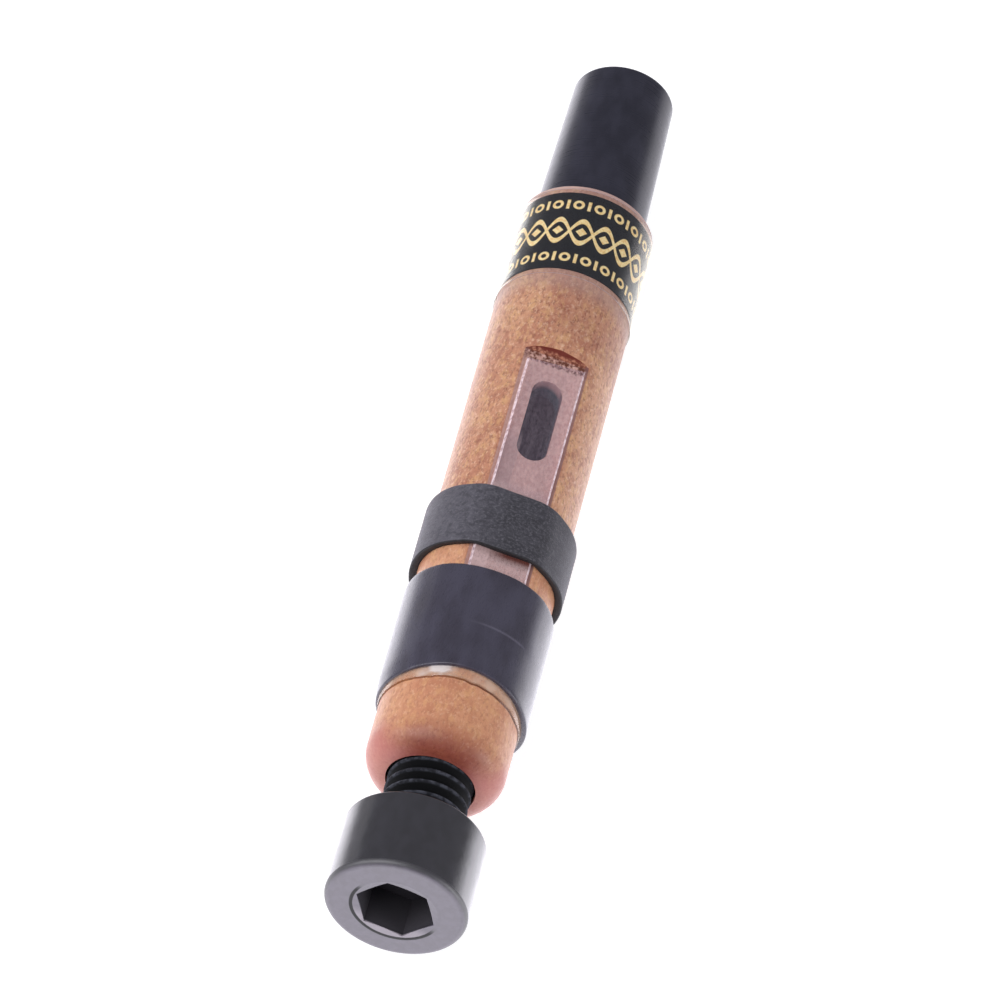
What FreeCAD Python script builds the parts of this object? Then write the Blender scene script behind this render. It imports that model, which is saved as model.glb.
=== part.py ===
import FreeCAD, Part
import math
import os

# Bagpipe drone reed, in millimetres.
# The reed lies along Y with its tongue facing up, +Z. The origin is on the reed's axis, at the
# shoulder where the tapered seat leaves the body: the seat points to +Y, the tuning screw to -Y.

# Each driving size: its alias in the sheet, its value, and what it is on the reed.
SIZES = (
    ("body_diameter", 9.85, "outside of the turned body"),
    ("body_length", 52.3, "body from its near end to the seat's shoulder"),
    ("near_round", 2.0, "rounding of the body's near end"),
    ("far_bevel", 0.15, "edge break at the body's far end"),
    ("bore_wall", 2.425, "body left round the wind passage"),
    ("bed_depth", 0.65, "depth of the flat milled for the tongue"),
    ("bed_place", 10.8, "start of the bed from the body's near end"),
    ("bed_length", 25.7, "length of the bed"),
    ("slot_width", 2.25, "wind slot under the tongue"),
    ("slot_length", 7.36, "wind slot, end to end"),
    ("slot_margin", 2.37, "from the slot's far end to the end wall of the bed"),
    ("seat_length", 13.4, "tapered part that goes into the drone"),
    ("shoulder_width", 0.875, "step from the body in to the seat"),
    ("seat_narrowing", 0.34, "taper of the seat on each side"),
    ("seat_tip_round", 0.3, "rounding of the seat's open end"),
    ("spigot_inset", 0.75, "step from the seat in to the spigot inside the body"),
    ("spigot_length", 9.0, "depth of the spigot in the body"),
    ("glue_gap", 0.03, "glue line round the spigot"),
    ("tongue_width", 4.25, "clear tongue"),
    ("tongue_thickness", 0.4, "clear tongue"),
    ("heel_gap", 0.2, "from the bed's near wall to the tongue's heel"),
    ("tip_gap", 0.95, "from the tongue's tip to the end wall of the bed"),
    ("blade_lift_angle", 2.4, "degrees by which the blade stands open"),
    ("bend_gap", 0.03, "clearance between heel and blade at the bend"),
    ("sleeve_place", 6.35, "holding sleeve's near edge from the body's near end"),
    ("sleeve_length", 9.22, "holding sleeve"),
    ("sleeve_wall", 0.37, "holding sleeve"),
    ("adhesive_film", 0.09, "clear lining under the sleeve"),
    ("adhesive_overhang", 0.9, "lining that shows beyond the sleeve's near edge"),
    ("adhesive_inset", 0.4, "lining held back from the sleeve's far edge"),
    ("bridle_gap", 1.73, "from the holding sleeve to the bridle, at rest"),
    ("bridle_length", 5.45, "rubber tuning ring"),
    ("bridle_wall", 0.57, "rubber tuning ring"),
    ("bridle_clearance", 0.03, "running clearance under the bridle"),
    ("bend_margin", 2.5, "from the bridle at rest to the bend where the blade starts"),
    ("label_length", 7.43, "printed band"),
    ("label_gap", 0.75, "bare body between the band and the shoulder"),
    ("label_thickness", 0.06, "printed band"),
    ("film_thickness", 0.06, "clear film over the band"),
    ("film_near_margin", 0.5, "film beyond the band's near edge"),
    ("film_far_margin", 0.38, "film beyond the band's far edge"),
    ("thread_wall", 1.925, "body left round the tuning screw's thread"),
    ("thread_pitch", 1.0, "tuning screw's thread"),
    ("thread_clearance", 0.05, "round the thread in its hole"),
    ("tip_room", 0.6, "hole left beyond the tuning screw when it is screwed home"),
    ("thread_runout", 0.5, "plain shank under the screw's head"),
    ("thread_lead", 1.0, "plain shank at the screw's tip"),
    ("mouth_clearance", 0.17, "round the thread in the mouth of its hole"),
    ("mouth_depth", 1.0, "lip in front of the seal"),
    ("gland_depth", 0.85, "groove that holds the seal, from the thread's crests outwards"),
    ("gland_width", 1.0, "groove that holds the seal"),
    ("seal_clearance", 0.04, "round the seal, inside and outside"),
    ("screw_length", 16.0, "tuning screw's shank"),
    ("screw_gap", 4.6, "from the body's near end to the screw's head, at rest"),
    ("screw_tip_bevel", 0.5, "end of the shank"),
    ("head_overhang", 0.075, "tuning screw's head beyond the body's side"),
    ("head_height", 6.4, "tuning screw's head"),
    ("head_front_round", 0.45, "front edge of the head"),
    ("head_back_round", 0.2, "back edge of the head"),
    ("socket_flats", 4.95, "hexagon socket across its flats"),
    ("socket_depth", 3.2, "hexagon socket"),
    ("socket_rim_depth", 0.12, "countersink at the socket's mouth"),
    ("socket_rim_width", 0.14, "countersink beyond the socket's corners"),
    ("socket_turn_angle", 4.35, "degrees by which the screw stands turned at rest"),
    ("overrun", 1.0, "length by which a cut runs past what it cuts"),
)
# The thread's V groove: its angle in degrees, and how far it reaches below and above the crests
# as shares of the pitch.
THREAD_ANGLE = 60
GROOVE_DEPTH_SHARE = 0.7578
GROOVE_LIP_SHARE = 0.1
# How far from its named place an edge may be and still be the one that is meant.
TOUCHING = 0.001

# Radii and places that several features share, as formulas over the sheet. Places are along Y.
BODY_RADIUS = "sizes.body_diameter / 2"
BORE_RADIUS = BODY_RADIUS + " - sizes.bore_wall"
THREAD_RADIUS = BODY_RADIUS + " - sizes.thread_wall"
GLAND_RADIUS = THREAD_RADIUS + " + sizes.gland_depth"
SEAT_BASE_RADIUS = BODY_RADIUS + " - sizes.shoulder_width"
SPIGOT_RADIUS = SEAT_BASE_RADIUS + " - sizes.spigot_inset"
BED_HEIGHT = BODY_RADIUS + " - sizes.bed_depth"
BED_START = "-sizes.body_length + sizes.bed_place"
BED_END = BED_START + " + sizes.bed_length"
SLEEVE_START = "-sizes.body_length + sizes.sleeve_place"
BRIDLE_START = SLEEVE_START + " + sizes.sleeve_length + sizes.bridle_gap"
BEND_PLACE = BRIDLE_START + " + sizes.bridle_length + sizes.bend_margin"
HEAD_BACK = "-sizes.body_length - sizes.screw_gap"
HEAD_FRONT = HEAD_BACK + " - sizes.head_height"

X_AXIS = FreeCAD.Vector(1, 0, 0)
Y_AXIS = FreeCAD.Vector(0, 1, 0)
Z_AXIS = FreeCAD.Vector(0, 0, 1)
# A primitive stands along Z. Turned like this it lies along Y.
ALONG_Y = FreeCAD.Rotation(X_AXIS, -90)


def make_sheet(doc):
    """Write the driving sizes into a spreadsheet with one alias each."""
    sheet = doc.addObject("Spreadsheet::Sheet", "sizes")
    for row, (alias, value, meaning) in enumerate(SIZES, start=1):
        sheet.set("A%d" % row, meaning)
        sheet.set("B%d" % row, str(value))
        sheet.setAlias("B%d" % row, alias)
    doc.recompute()
    return sheet


def bind(feature, formulas):
    """Tie each named property of a feature to a formula over the sheet."""
    for prop, formula in formulas.items():
        feature.setExpression(prop, formula)


def lying(feature, formulas):
    """Turn a new feature so that its own axis lies along Y, and bind its sizes."""
    feature.Placement = FreeCAD.Placement(FreeCAD.Vector(), ALONG_Y)
    bind(feature, formulas)
    return feature


def rim_names(feature, place):
    """Names of the circular edges of a feature at one place along Y."""
    names = []
    for number, edge in enumerate(feature.Shape.Edges, start=1):
        if isinstance(edge.Curve, Part.Circle) and abs(edge.Curve.Center.y - place) < TOUCHING:
            names.append("Edge%d" % number)
    return names


def dress_rim(body, kind, name, place, size_name, formula):
    """Round or bevel the rim that a body's last feature has at one place along Y."""
    body.Document.recompute()
    base = body.Tip
    feature = body.newObject(kind, name)
    feature.Base = (base, rim_names(base, place))
    bind(feature, {size_name: formula})
    return feature


def make_reed_body(doc, sheet):
    """Turned body: bore, screw hole with its seal groove, socket for the seat, bed and wind slot."""
    body = doc.addObject("PartDesign::Body", "reed_body")
    lying(body.newObject("PartDesign::AdditiveCylinder", "blank"), {
        "Radius": BODY_RADIUS,
        "Height": "sizes.body_length",
        "Placement.Base.y": "-sizes.body_length",
    })
    dress_rim(body, "PartDesign::Fillet", "near_end", -sheet.get("body_length"),
              "Radius", "sizes.near_round")
    dress_rim(body, "PartDesign::Chamfer", "far_end", 0, "Size", "sizes.far_bevel")
    lying(body.newObject("PartDesign::SubtractiveCylinder", "bore"), {
        "Radius": BORE_RADIUS,
        "Height": "sizes.body_length + 2 * sizes.overrun",
        "Placement.Base.y": "-sizes.body_length - sizes.overrun",
    })
    lying(body.newObject("PartDesign::SubtractiveCylinder", "screw_hole"), {
        "Radius": THREAD_RADIUS + " + sizes.thread_clearance",
        "Height": "sizes.screw_length + sizes.tip_room + sizes.overrun",
        "Placement.Base.y": "-sizes.body_length - sizes.overrun",
    })
    lying(body.newObject("PartDesign::SubtractiveCylinder", "mouth"), {
        "Radius": THREAD_RADIUS + " + sizes.mouth_clearance",
        "Height": "sizes.mouth_depth + sizes.overrun",
        "Placement.Base.y": "-sizes.body_length - sizes.overrun",
    })
    lying(body.newObject("PartDesign::SubtractiveCylinder", "seal_groove"), {
        "Radius": GLAND_RADIUS,
        "Height": "sizes.gland_width",
        "Placement.Base.y": "-sizes.body_length + sizes.mouth_depth",
    })
    lying(body.newObject("PartDesign::SubtractiveCylinder", "seat_socket"), {
        "Radius": SPIGOT_RADIUS + " + sizes.glue_gap",
        "Height": "sizes.spigot_length + sizes.glue_gap + sizes.overrun",
        "Placement.Base.y": "-sizes.spigot_length - sizes.glue_gap",
    })
    bed = body.newObject("PartDesign::SubtractiveBox", "bed")
    bind(bed, {
        "Length": "sizes.body_diameter + 2 * sizes.overrun",
        "Width": "sizes.bed_length",
        "Height": "sizes.bed_depth + sizes.overrun",
        "Placement.Base.x": "-sizes.body_diameter / 2 - sizes.overrun",
        "Placement.Base.y": BED_START,
        "Placement.Base.z": BED_HEIGHT,
    })
    slot_far_place = BED_END + " - sizes.slot_margin - sizes.slot_width / 2"
    slot_near_place = BED_END + " - sizes.slot_margin - sizes.slot_length + sizes.slot_width / 2"
    slot = body.newObject("PartDesign::SubtractiveBox", "slot")
    bind(slot, {
        "Length": "sizes.slot_width",
        "Width": "sizes.slot_length - sizes.slot_width",
        "Height": BODY_RADIUS,
        "Placement.Base.x": "-sizes.slot_width / 2",
        "Placement.Base.y": slot_near_place,
    })
    for name, place in (("slot_near_round", slot_near_place), ("slot_far_round", slot_far_place)):
        slot_round = body.newObject("PartDesign::SubtractiveCylinder", name)
        bind(slot_round, {
            "Radius": "sizes.slot_width / 2",
            "Height": BODY_RADIUS,
            "Placement.Base.y": place,
        })
    return body


def make_seat_tube(doc, sheet):
    """Black tapered seat with its spigot and the open end of the wind passage."""
    body = doc.addObject("PartDesign::Body", "seat_tube")
    lying(body.newObject("PartDesign::AdditiveCone", "taper"), {
        "Radius1": SEAT_BASE_RADIUS,
        "Radius2": SEAT_BASE_RADIUS + " - sizes.seat_narrowing",
        "Height": "sizes.seat_length",
    })
    dress_rim(body, "PartDesign::Fillet", "open_end", sheet.get("seat_length"),
              "Radius", "sizes.seat_tip_round")
    lying(body.newObject("PartDesign::AdditiveCylinder", "spigot"), {
        "Radius": SPIGOT_RADIUS,
        "Height": "sizes.spigot_length",
        "Placement.Base.y": "-sizes.spigot_length",
    })
    lying(body.newObject("PartDesign::SubtractiveCylinder", "passage"), {
        "Radius": BORE_RADIUS,
        "Height": "sizes.spigot_length + sizes.seat_length + 2 * sizes.overrun",
        "Placement.Base.y": "-sizes.spigot_length - sizes.overrun",
    })
    return body


def make_tongue_heel(doc):
    """The part of the tongue that sleeve and bridle hold flat on the bed."""
    heel = doc.addObject("Part::Box", "tongue_heel")
    heel_start = BED_START + " + sizes.heel_gap"
    bind(heel, {
        "Length": "sizes.tongue_width",
        "Width": "(%s) - (%s) - sizes.bend_gap" % (BEND_PLACE, heel_start),
        "Height": "sizes.tongue_thickness",
        "Placement.Base.x": "-sizes.tongue_width / 2",
        "Placement.Base.y": heel_start,
        "Placement.Base.z": BED_HEIGHT,
    })
    return heel


def make_tongue_blade(doc):
    """The beating part of the tongue, standing open over the slot by its lift."""
    blade = doc.addObject("Part::Box", "tongue_blade")
    blade.Placement = FreeCAD.Placement(FreeCAD.Vector(), FreeCAD.Rotation(X_AXIS, 1))
    blade_start = BEND_PLACE + " + sizes.bend_gap"
    bind(blade, {
        "Length": "sizes.tongue_width",
        "Width": "(%s) - sizes.tip_gap - (%s)" % (BED_END, blade_start),
        "Height": "sizes.tongue_thickness",
        "Placement.Base.x": "-sizes.tongue_width / 2",
        "Placement.Base.y": blade_start,
        "Placement.Base.z": BED_HEIGHT,
        "Placement.Rotation.Angle": "sizes.blade_lift_angle",
    })
    return blade


def make_thread_seal(doc):
    """Rubber ring that grips the screw's thread just inside the mouth of its hole."""
    inner = "(%s + sizes.seal_clearance)" % THREAD_RADIUS
    outer = "(%s - sizes.seal_clearance)" % GLAND_RADIUS
    return lying(doc.addObject("Part::Torus", "thread_seal"), {
        "Radius1": "(%s + %s) / 2" % (outer, inner),
        "Radius2": "(%s - %s) / 2" % (outer, inner),
        "Placement.Base.y": "-sizes.body_length + sizes.mouth_depth + sizes.gland_width / 2",
    })


def thread_groove(sheet):
    """The V groove between the thread's crests, wound right-handed up the Z axis."""
    pitch = sheet.get("thread_pitch")
    radius = sheet.get("body_diameter") / 2 - sheet.get("thread_wall")
    height = sheet.get("screw_length") - sheet.get("thread_runout") - sheet.get("thread_lead")
    root_reach = radius - GROOVE_DEPTH_SHARE * pitch
    lip_reach = radius + GROOVE_LIP_SHARE * pitch
    half_width = (lip_reach - root_reach) * math.tan(math.radians(THREAD_ANGLE / 2))
    root = FreeCAD.Vector(root_reach, 0, 0)
    near_lip = FreeCAD.Vector(lip_reach, 0, -half_width)
    far_lip = FreeCAD.Vector(lip_reach, 0, half_width)
    sweep = Part.BRepOffsetAPI.MakePipeShell(Part.makeHelix(pitch, height, radius))
    sweep.setBiNormalMode(Z_AXIS)
    sweep.add(Part.makePolygon([root, near_lip, far_lip, root]))
    sweep.build()
    sweep.makeSolid()
    return sweep.shape()


def make_tuning_screw(doc, sheet):
    """Socket-head screw: head, shank, hexagon socket and a helical thread cut into the shank."""
    screw = doc.addObject("PartDesign::Body", "screw_blank")
    lying(screw.newObject("PartDesign::AdditiveCylinder", "head"), {
        "Radius": BODY_RADIUS + " + sizes.head_overhang",
        "Height": "sizes.head_height",
        "Placement.Base.y": HEAD_FRONT,
    })
    back_place = -sheet.get("body_length") - sheet.get("screw_gap")
    front_place = back_place - sheet.get("head_height")
    dress_rim(screw, "PartDesign::Fillet", "head_front", front_place,
              "Radius", "sizes.head_front_round")
    dress_rim(screw, "PartDesign::Fillet", "head_back", back_place,
              "Radius", "sizes.head_back_round")
    lying(screw.newObject("PartDesign::AdditiveCylinder", "shank"), {
        "Radius": THREAD_RADIUS,
        "Height": "sizes.screw_length",
        "Placement.Base.y": HEAD_BACK,
    })
    dress_rim(screw, "PartDesign::Chamfer", "shank_tip", back_place + sheet.get("screw_length"),
              "Size", "sizes.screw_tip_bevel")
    socket = lying(screw.newObject("PartDesign::SubtractivePrism", "socket"), {
        "Circumradius": "sizes.socket_flats / 2 / cos(30)",
        "Height": "sizes.socket_depth + sizes.overrun",
        "Placement.Base.y": HEAD_FRONT + " - sizes.overrun",
    })
    socket.Polygon = 6
    lying(screw.newObject("PartDesign::SubtractiveCone", "socket_rim"), {
        "Radius1": "sizes.socket_flats / 2 / cos(30) + sizes.socket_rim_width",
        "Radius2": "sizes.socket_flats / 2",
        "Height": "sizes.socket_rim_depth",
        "Placement.Base.y": HEAD_FRONT,
    })

    groove = shaped_piece(doc, "thread_groove", thread_groove(sheet))
    lying(groove, {"Placement.Base.y": HEAD_BACK + " + sizes.thread_runout"})
    threaded = doc.addObject("Part::Cut", "tuning_screw")
    threaded.Base = screw
    threaded.Tool = groove
    threaded.Placement = FreeCAD.Placement(FreeCAD.Vector(), FreeCAD.Rotation(Y_AXIS, 1))
    bind(threaded, {"Placement.Rotation.Angle": "sizes.socket_turn_angle"})
    return threaded


def band(doc, name, inner, outer, length, place):
    """A plain tube round the body."""
    skin = lying(doc.addObject("Part::Cylinder", name + "_outside"), {
        "Radius": outer,
        "Height": length,
        "Placement.Base.y": place,
    })
    hollow = lying(doc.addObject("Part::Cylinder", name + "_inside"), {
        "Radius": inner,
        "Height": length + " + 2 * sizes.overrun",
        "Placement.Base.y": place + " - sizes.overrun",
    })
    tube = doc.addObject("Part::Cut", name)
    tube.Base = skin
    tube.Tool = hollow
    return tube


def make_label(doc):
    """Printed band near the shoulder, with a clear film over it that stands out at both edges."""
    paper_radius = BODY_RADIUS + " + sizes.label_thickness"
    paper_place = "-sizes.label_gap - sizes.label_length"
    paper = band(doc, "label_band", BODY_RADIUS, paper_radius, "sizes.label_length", paper_place)
    film_blank = band(doc, "film_blank", BODY_RADIUS,
                      paper_radius + " + sizes.film_thickness",
                      "sizes.label_length + sizes.film_near_margin + sizes.film_far_margin",
                      paper_place + " - sizes.film_near_margin")
    paper_room = lying(doc.addObject("Part::Cylinder", "paper_room"), {
        "Radius": paper_radius,
        "Height": "sizes.label_length",
        "Placement.Base.y": paper_place,
    })
    film = doc.addObject("Part::Cut", "label_film")
    film.Base = film_blank
    film.Tool = paper_room
    return [paper, film]


def circle_outline(radius):
    """The body's own round outline, in the XZ plane."""
    return Part.Wire(Part.Circle(FreeCAD.Vector(), Y_AXIS, radius).toShape())


def hugging_outline(sheet):
    """Outline, in the XZ plane, of a skin pulled tight round the body and the tongue on its bed."""
    radius = sheet.get("body_diameter") / 2
    bed_height = radius - sheet.get("bed_depth")
    corner_x = sheet.get("tongue_width") / 2
    corner_z = bed_height + sheet.get("tongue_thickness")
    corner_reach = math.hypot(corner_x, corner_z)
    # Angles from +Z. The skin leaves the round where its line to the corner just touches the body,
    # or at the edge of the bed where the corner stands no higher than the round.
    touch_angle = math.atan2(corner_x, corner_z) + math.acos(min(1, radius / corner_reach))
    leave_angle = max(touch_angle, math.acos(bed_height / radius))
    leave_x = radius * math.sin(leave_angle)
    leave_z = radius * math.cos(leave_angle)
    right = FreeCAD.Vector(leave_x, 0, leave_z)
    left = FreeCAD.Vector(-leave_x, 0, leave_z)
    left_corner = FreeCAD.Vector(-corner_x, 0, corner_z)
    right_corner = FreeCAD.Vector(corner_x, 0, corner_z)
    under = FreeCAD.Vector(0, 0, -radius)
    return Part.Wire([
        Part.Arc(right, under, left).toShape(),
        Part.LineSegment(left, left_corner).toShape(),
        Part.LineSegment(left_corner, right_corner).toShape(),
        Part.LineSegment(right_corner, right).toShape(),
    ])


def skin(outline, inner_gap, wall, start, end):
    """A ring of even wall round an outline, from start to end along Y."""
    inner = outline.makeOffset2D(inner_gap) if inner_gap > 0 else outline
    outer = outline.makeOffset2D(inner_gap + wall)
    ring = Part.Face(outer).cut(Part.Face(inner))
    ring.translate(FreeCAD.Vector(0, start, 0))
    return ring.extrude(FreeCAD.Vector(0, end - start, 0))


def shaped_piece(doc, name, shape, place=0):
    """A sub-part whose shape is worked out from the sheet, put at its place along Y."""
    piece = doc.addObject("Part::Feature", name)
    piece.Shape = shape
    piece.Placement = FreeCAD.Placement(FreeCAD.Vector(0, place, 0), FreeCAD.Rotation())
    return piece


def stepped_skin(sheet, inner_gap, wall, start, end):
    """A skin that is round before the bed and hugs the tongue along the bed."""
    bed_place = sheet.get("bed_place")
    before_bed = circle_outline(sheet.get("body_diameter") / 2)
    round_part = skin(before_bed, inner_gap, wall, start, bed_place)
    hugging_part = skin(hugging_outline(sheet), inner_gap, wall, bed_place, end)
    return round_part.fuse(hugging_part)


def make_rings(doc, sheet):
    """Sleeve, its adhesive lining and the bridle, all pulled tight over body and tongue."""
    near_end = -sheet.get("body_length")
    sleeve_start = sheet.get("sleeve_place")
    sleeve_end = sleeve_start + sheet.get("sleeve_length")
    bridle_start = sleeve_end + sheet.get("bridle_gap")
    adhesive_wall = sheet.get("adhesive_film")
    adhesive = stepped_skin(sheet, 0, adhesive_wall,
                            sleeve_start - sheet.get("adhesive_overhang"),
                            sleeve_end - sheet.get("adhesive_inset"))
    sleeve = stepped_skin(sheet, adhesive_wall, sheet.get("sleeve_wall"), sleeve_start, sleeve_end)
    bridle = skin(hugging_outline(sheet), sheet.get("bridle_clearance"), sheet.get("bridle_wall"),
                  0, sheet.get("bridle_length"))
    return [
        shaped_piece(doc, "sleeve_adhesive", adhesive, near_end),
        shaped_piece(doc, "holding_sleeve", sleeve, near_end),
        shaped_piece(doc, "bridle", bridle, near_end + bridle_start),
    ]


def check_sound(doc, pieces):
    """Stop if any feature failed or any sub-part has no whole, valid solid."""
    for thing in doc.Objects:
        if "Invalid" in thing.State or "Error" in thing.State:
            raise RuntimeError("feature failed: " + thing.Label)
    for piece in pieces:
        if piece.Shape.isNull() or not piece.Shape.isValid() or not piece.Shape.Solids:
            raise RuntimeError("sub-part has no valid solid: " + piece.Label)


def main():
    doc = FreeCAD.newDocument("drone_reed")
    sheet = make_sheet(doc)
    pieces = [
        make_reed_body(doc, sheet),
        make_seat_tube(doc, sheet),
        make_tongue_heel(doc),
        make_tongue_blade(doc),
        make_thread_seal(doc),
        make_tuning_screw(doc, sheet),
    ]
    pieces += make_label(doc)
    pieces += make_rings(doc, sheet)
    doc.recompute()
    check_sound(doc, pieces)
    os.makedirs("parts", exist_ok=True)
    for piece in pieces:
        piece.Shape.exportStep("parts/%s.step" % piece.Label)
        box = piece.Shape.BoundBox
        print("%-16s %9.3f mm3  y %7.2f to %7.2f" % (piece.Label, piece.Shape.Volume, box.YMin, box.YMax))


main()
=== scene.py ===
# %% [markdown]
# # A bagpipe drone reed
# The reed is a turned tan body with a clear tongue held on its flat by a black sleeve and a
# rubber bridle. A tapered black seat goes into the drone, and a nylon screw at the other end
# tunes it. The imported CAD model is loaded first, as a fixed frame. Every piece made here sits in
# that frame, so nothing has to be fitted by eye. All lengths of pieces are in metres, written as
# millimetres times MM.

import math

import bpy
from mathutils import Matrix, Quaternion, Vector, noise


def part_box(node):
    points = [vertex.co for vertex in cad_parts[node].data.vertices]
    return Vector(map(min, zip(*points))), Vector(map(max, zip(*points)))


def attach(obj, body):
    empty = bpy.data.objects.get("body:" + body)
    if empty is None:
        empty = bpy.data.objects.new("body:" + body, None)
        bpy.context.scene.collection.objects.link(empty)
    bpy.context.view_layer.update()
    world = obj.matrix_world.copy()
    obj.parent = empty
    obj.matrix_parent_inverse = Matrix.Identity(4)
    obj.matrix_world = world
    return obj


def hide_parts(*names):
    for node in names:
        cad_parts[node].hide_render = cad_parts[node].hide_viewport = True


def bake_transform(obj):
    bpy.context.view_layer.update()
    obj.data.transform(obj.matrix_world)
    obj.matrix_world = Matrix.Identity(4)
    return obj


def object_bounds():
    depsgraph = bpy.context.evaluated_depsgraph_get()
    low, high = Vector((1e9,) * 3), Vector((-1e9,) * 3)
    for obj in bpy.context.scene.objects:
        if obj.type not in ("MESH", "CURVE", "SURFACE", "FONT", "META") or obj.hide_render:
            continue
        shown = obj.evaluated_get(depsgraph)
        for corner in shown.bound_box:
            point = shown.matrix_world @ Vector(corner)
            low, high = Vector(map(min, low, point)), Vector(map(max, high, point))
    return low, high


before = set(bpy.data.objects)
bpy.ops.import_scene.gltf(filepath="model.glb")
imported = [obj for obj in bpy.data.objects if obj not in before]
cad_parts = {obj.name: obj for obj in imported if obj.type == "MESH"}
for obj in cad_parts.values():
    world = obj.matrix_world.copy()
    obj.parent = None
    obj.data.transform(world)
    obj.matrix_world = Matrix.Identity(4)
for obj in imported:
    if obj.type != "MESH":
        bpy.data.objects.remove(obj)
cad_low, cad_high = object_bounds()
MM = 0.001
print("CAD box:", [round(v / MM, 2) for v in (*cad_low, *cad_high)], "mm")

# %% [markdown]
# ## Places read from the frame
# The reed lies along Y. The tuning screw is at the -Y end and the seat at the +Y end, and the
# tongue faces up, +Z. A piece takes its place from the corners of its CAD node, so it stays right
# if the CAD model changes.

# %% Places and radii
body_low, body_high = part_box("reed_body")
seat_low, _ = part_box("seat_tube")
screw_low, screw_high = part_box("tuning_screw")
heel_low, heel_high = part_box("tongue_heel")
blade_low, blade_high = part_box("tongue_blade")
sleeve_low, sleeve_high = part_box("holding_sleeve")
adhesive_low, adhesive_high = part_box("sleeve_adhesive")
bridle_low, bridle_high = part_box("bridle")
label_low, label_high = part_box("label_band")
film_low, film_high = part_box("label_film")

BODY_RADIUS = body_high.x
BED_HEIGHT = heel_low.z
NEAR_END = body_low.y
SHOULDER = body_high.y
print("body radius %.3f mm, bed %.3f mm above the axis" % (BODY_RADIUS / MM, BED_HEIGHT / MM))

# %% [markdown]
# ## The camera
# The photograph was taken with a long lens, from about 60 cm away and 50 degrees above the reed,
# with the camera rolled to one side. The camera aims at a point in the reed's own plane, and the
# roll is turned about its line of sight.

# %% Camera
CAMERA_PLACE = Vector((-48.08, -403.73, 458.16)) * MM
CAMERA_AIM = Vector((-0.734, -26.343, 0)) * MM
CAMERA_ROLL = math.radians(25.1)

camera_data = bpy.data.cameras.new("camera")
camera_data.lens = 304.5
camera_data.sensor_width = 36
camera = bpy.data.objects.new("camera", camera_data)
bpy.context.scene.collection.objects.link(camera)
line_of_sight = (CAMERA_AIM - CAMERA_PLACE).to_track_quat("-Z", "Y")
camera.rotation_mode = "QUATERNION"
camera.rotation_quaternion = line_of_sight @ Quaternion((0, 0, 1), CAMERA_ROLL)
camera.location = CAMERA_PLACE
bpy.context.scene.camera = camera
print("camera %.0f mm from the reed" % ((CAMERA_AIM - CAMERA_PLACE).length / MM))

# %% [markdown]
# ## Floor and light
# A small glossy-black part is mostly drawn by what it mirrors. Seen from above and in front, a
# flank of the reed mirrors the table behind it, and its top mirrors the room above. The table is
# white and the room is darker, so the black pieces have pale edges and a dark middle. The soft
# boxes that light the colours stand on the camera's side, where no flank mirrors them, and one low
# strip behind the reed widens the pale edge on its right. The floor is white for the eye and still
# takes a shadow. In reflections it is dim to the left of the reed and dimmer behind it on the
# right, which keeps both edges narrow.
#
# Shader nodes are added by short helpers. They all add to the tree in hand, which is called tree.

# %% Adding shader nodes
def fresh_tree(owner):
    """The emptied node tree of a material or a world."""
    owner.use_nodes = True
    owner.node_tree.nodes.clear()
    return owner.node_tree


def add_node(kind, inputs=None, **settings):
    """Add a node to the tree in hand. An input is given a value, or a socket to be linked to."""
    made = tree.nodes.new("ShaderNode" + kind)
    for name, value in settings.items():
        setattr(made, name, value)
    for key, value in (inputs or {}).items():
        if isinstance(value, bpy.types.NodeSocket):
            tree.links.new(value, made.inputs[key])
        else:
            made.inputs[key].default_value = value
    return made


def wire(kind, inputs=None, **settings):
    """Add a node and return its first output, ready to be linked."""
    return add_node(kind, inputs, **settings).outputs[0]


def calc(operation, *values):
    """One Math node. Its values are numbers or sockets."""
    return wire("Math", dict(enumerate(values)), operation=operation)


def ramp(value, low, high, start=0, end=1, kind="LINEAR"):
    """Map a value from low..high to start..end."""
    return wire("MapRange", {"Value": value, "From Min": low, "From Max": high,
                             "To Min": start, "To Max": end}, interpolation_type=kind)


def mix(share, first, second):
    """The second shader over the first, by a share from 0 to 1."""
    return wire("MixShader", {0: share, 1: first, 2: second})


# %% Floor
FLOOR_SIZE = 1.6
FLOOR_GAP = 0.01 * MM

bpy.ops.object.select_all(action="DESELECT")
bpy.ops.mesh.primitive_plane_add(size=FLOOR_SIZE, location=(0, 0, cad_low.z - FLOOR_GAP))
floor = bpy.context.object
floor.name = "floor"

floor_paint = bpy.data.materials.new("white_table")
tree = fresh_tree(floor_paint)
ray = add_node("LightPath").outputs
seen = calc("MAXIMUM", calc("MAXIMUM", ray["Is Camera Ray"], ray["Is Glossy Ray"]),
            ray["Is Transmission Ray"])
where = add_node("TexCoord").outputs["Object"]
to_right, to_back, _ = add_node("SeparateXYZ", {0: where}).outputs
near_left = ramp(to_right, -0.019, -0.0115, 0.24, 2.35)
dimmed = calc("MULTIPLY", ramp(to_right, 0, 0.01), ramp(to_back, -0.03, 0.005))
mirrored = wire("Emission", {"Color": (0.95, 0.93, 1, 1),
                             "Strength": calc("SUBTRACT", near_left, dimmed)})
plain = wire("Emission", {"Color": (1, 1, 1, 1), "Strength": 0.82})
paint = wire("BsdfDiffuse", {"Color": (0.88, 0.87, 0.89, 1)})
shade = wire("BsdfDiffuse", {"Color": (0.5, 0.5, 0.5, 1)})
lit = wire("AddShader", {0: shade, 1: mix(ray["Is Glossy Ray"], plain, mirrored)})
add_node("OutputMaterial", {0: mix(seen, paint, lit)})
floor.data.materials.append(floor_paint)
print("floor at z = %.3f mm" % (floor.location.z / MM))

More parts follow.
